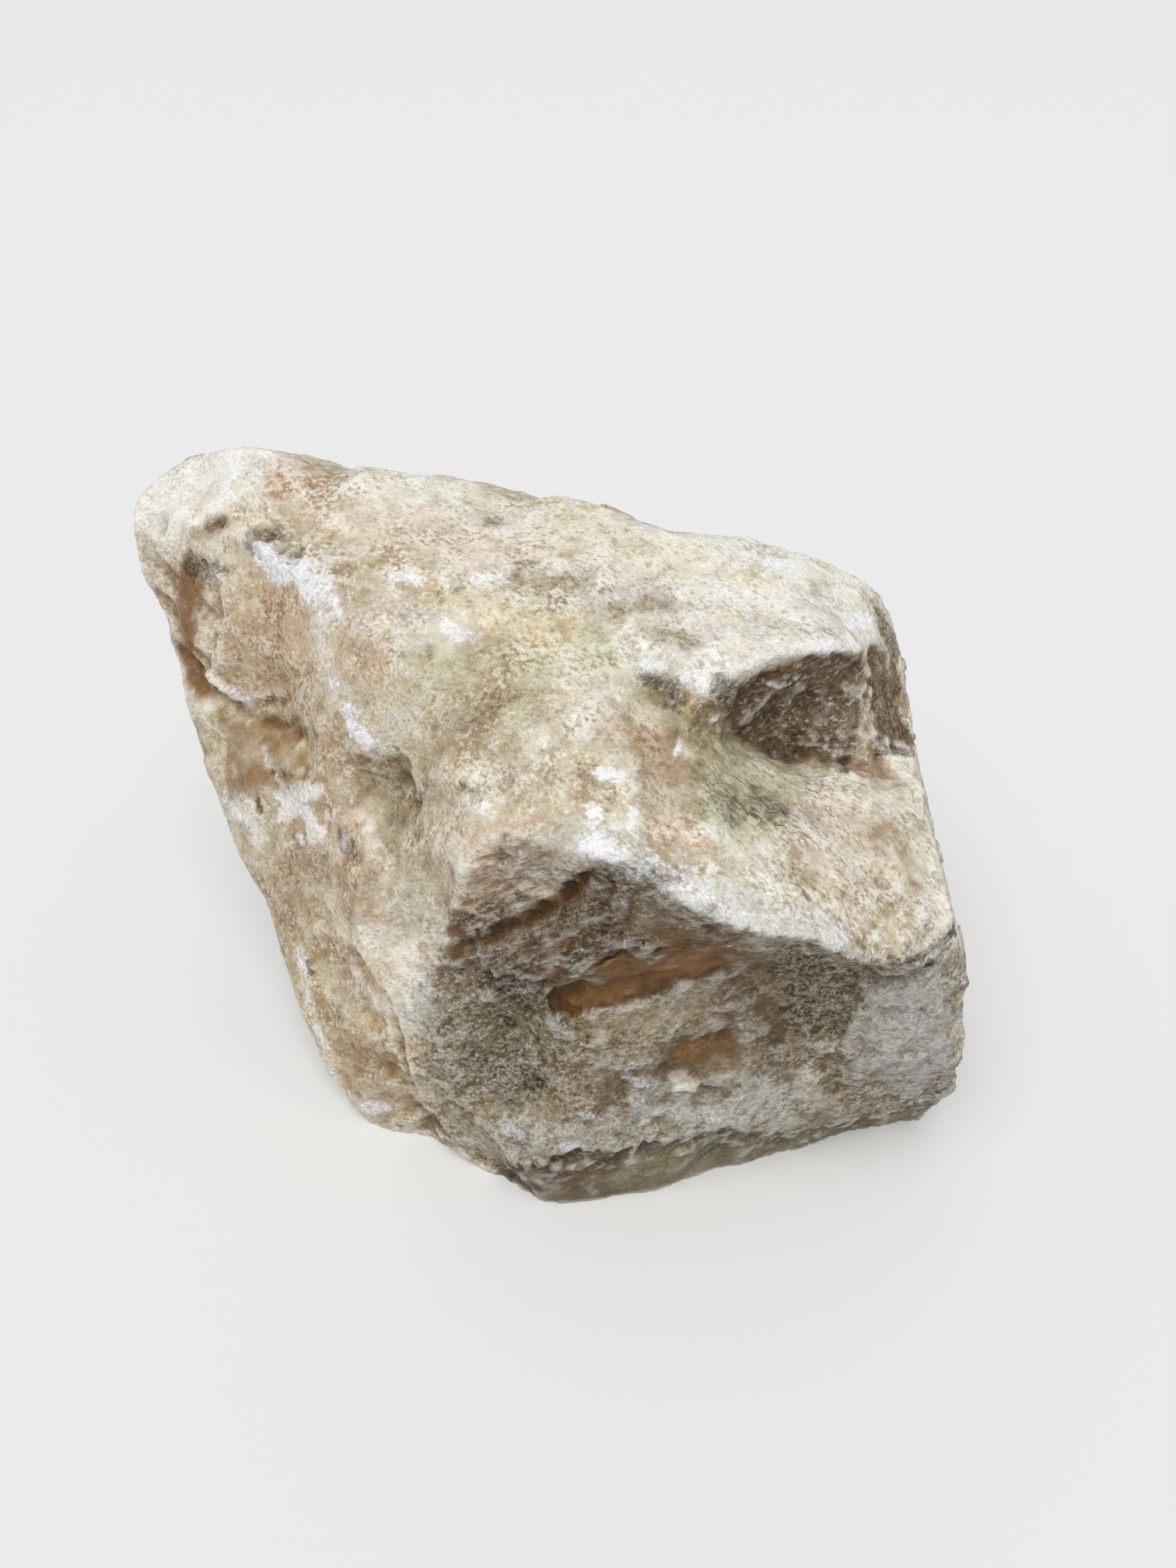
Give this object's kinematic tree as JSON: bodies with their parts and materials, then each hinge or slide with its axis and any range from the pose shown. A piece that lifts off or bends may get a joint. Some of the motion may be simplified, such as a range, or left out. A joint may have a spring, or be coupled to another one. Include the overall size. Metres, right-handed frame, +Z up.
{
  "type": "honeycomb calcite boulder",
  "caption": "Rough natural boulder of honeycomb calcite that stands by itself on one flat face, with a broken top slope, a notch and fractured sides.",
  "frame": {"origin": "on the ground, under the middle of the boulder's box", "axes": "+X to the right of the broken front face, along the longest side; +Y from the front face to the back; +Z up"},
  "size_m": [0.278, 0.1906, 0.2135],
  "materials": {
    "calcite": "matt broken crystal, chalky white on its edges, waxy honey brown in its hollows"
  },
  "bodies": {
    "root": {"calcite_boulder": "calcite"}
  },
  "joints": []
}
